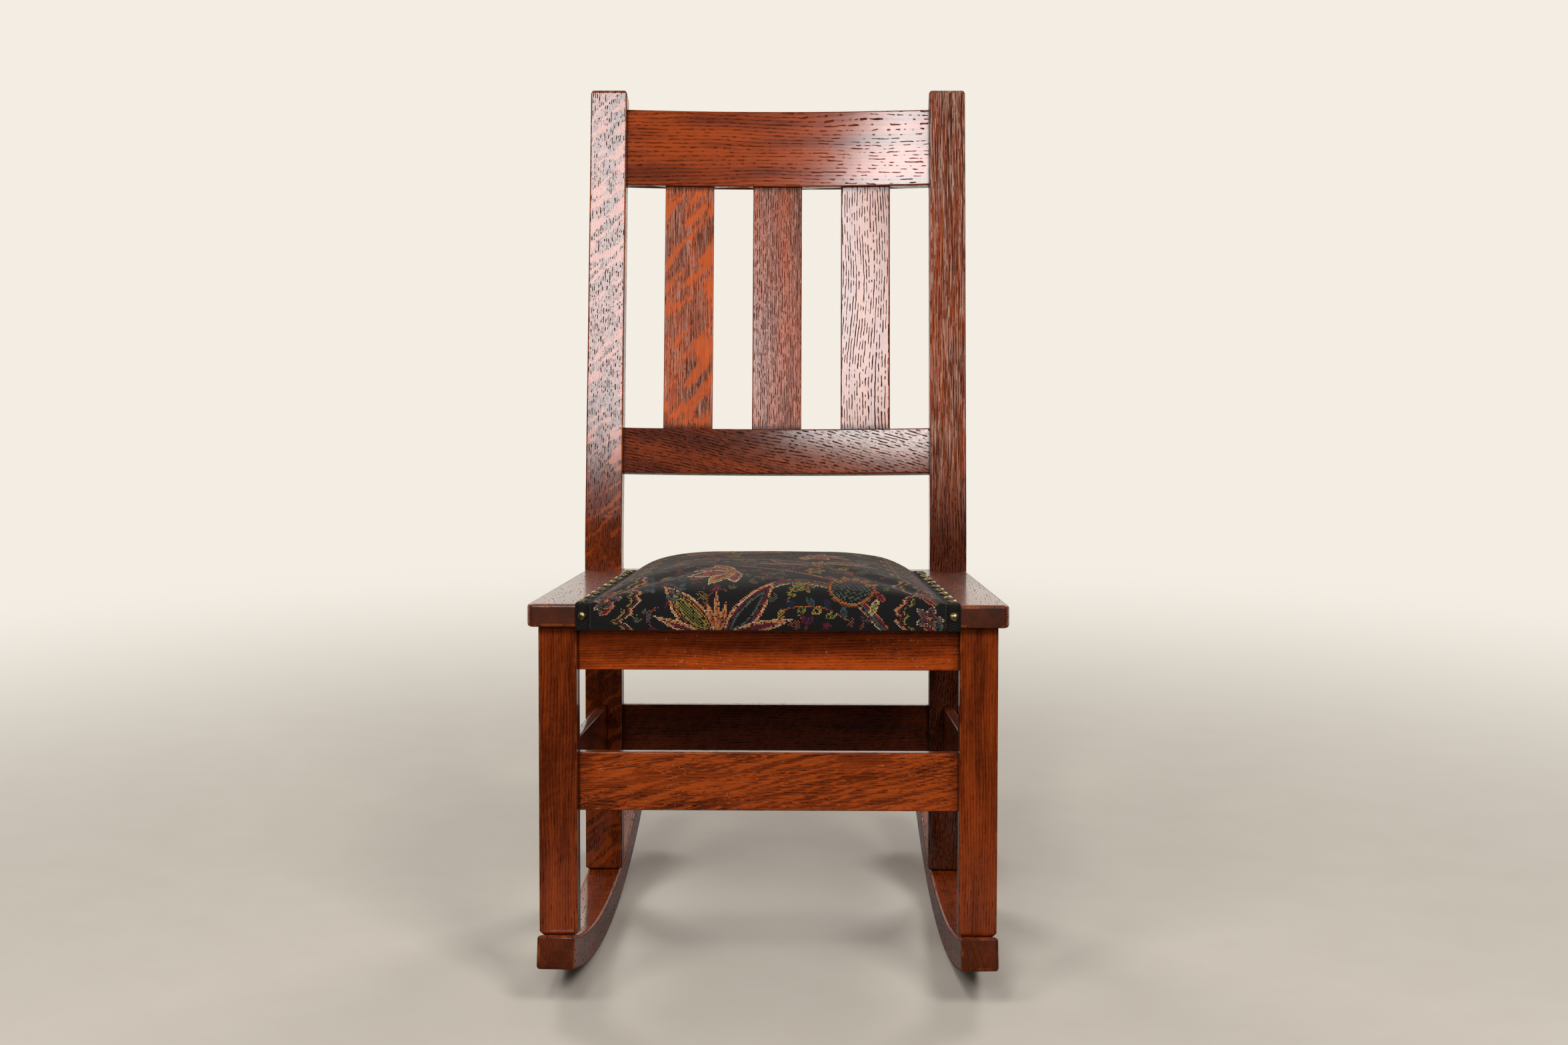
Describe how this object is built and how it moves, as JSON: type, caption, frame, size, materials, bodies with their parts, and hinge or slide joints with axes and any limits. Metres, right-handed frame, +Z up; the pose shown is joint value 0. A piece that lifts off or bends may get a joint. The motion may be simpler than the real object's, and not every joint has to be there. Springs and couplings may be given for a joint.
{
  "type": "sewing rocking chair",
  "caption": "Armless low rocking chair in dark oak, with a raked slatted back between square posts, plain stretchers, curved rockers and a padded tapestry seat held by braid and brass nails.",
  "frame": {"origin": "on the floor, midway along the rockers and between them", "axes": "+Z up, +Y towards the back of the chair, +X to the right as seen from the front"},
  "size_m": [0.425, 0.6119, 0.805],
  "materials": {
    "oak": "satin",
    "oak_inside": "matte",
    "tapestry": "matte",
    "stuffing": "matte",
    "jute": "matte",
    "braid": "matte",
    "brass": "satin",
    "steel": "satin"
  },
  "bodies": {
    "root": {"left_rocker": "oak", "right_rocker": "oak", "left_front_leg": "oak", "right_front_leg": "oak", "left_rear_post": "oak", "right_rear_post": "oak", "crest_rail": "oak", "lower_back_rail": "oak", "left_back_slat": "oak", "center_back_slat": "oak", "right_back_slat": "oak", "front_seat_rail": "oak", "back_seat_rail": "oak", "left_seat_rail": "oak", "right_seat_rail": "oak", "front_stretcher": "oak", "back_stretcher": "oak", "left_stretcher": "oak", "right_stretcher": "oak", "left_seat_plank": "oak", "right_seat_plank": "oak", "front_seat_board": "oak_inside", "rear_seat_board": "oak", "left_front_block": "oak_inside", "right_front_block": "oak_inside", "left_rear_block": "oak_inside", "right_rear_block": "oak_inside", "webbing_lengthwise_1": "jute", "webbing_lengthwise_2": "jute", "webbing_crosswise_1": "jute", "webbing_crosswise_2": "jute", "seat_stuffing": "stuffing", "seat_cover": "tapestry", "left_gimp": "braid", "right_gimp": "braid", "left_nail_1": "brass", "left_nail_2": "brass", "left_nail_3": "brass", "left_nail_4": "brass", "left_nail_5": "brass", "left_nail_6": "brass", "left_nail_7": "brass", "left_nail_8": "brass", "left_nail_9": "brass", "left_front_nail": "brass", "right_nail_1": "brass", "right_nail_2": "brass", "right_nail_3": "brass", "right_nail_4": "brass", "right_nail_5": "brass", "right_nail_6": "brass", "right_nail_7": "brass", "right_nail_8": "brass", "right_nail_9": "brass", "right_front_nail": "brass", "left_front_rocker_screw": "steel", "right_front_rocker_screw": "steel", "left_rear_rocker_screw": "steel", "right_rear_rocker_screw": "steel"}
  },
  "joints": []
}
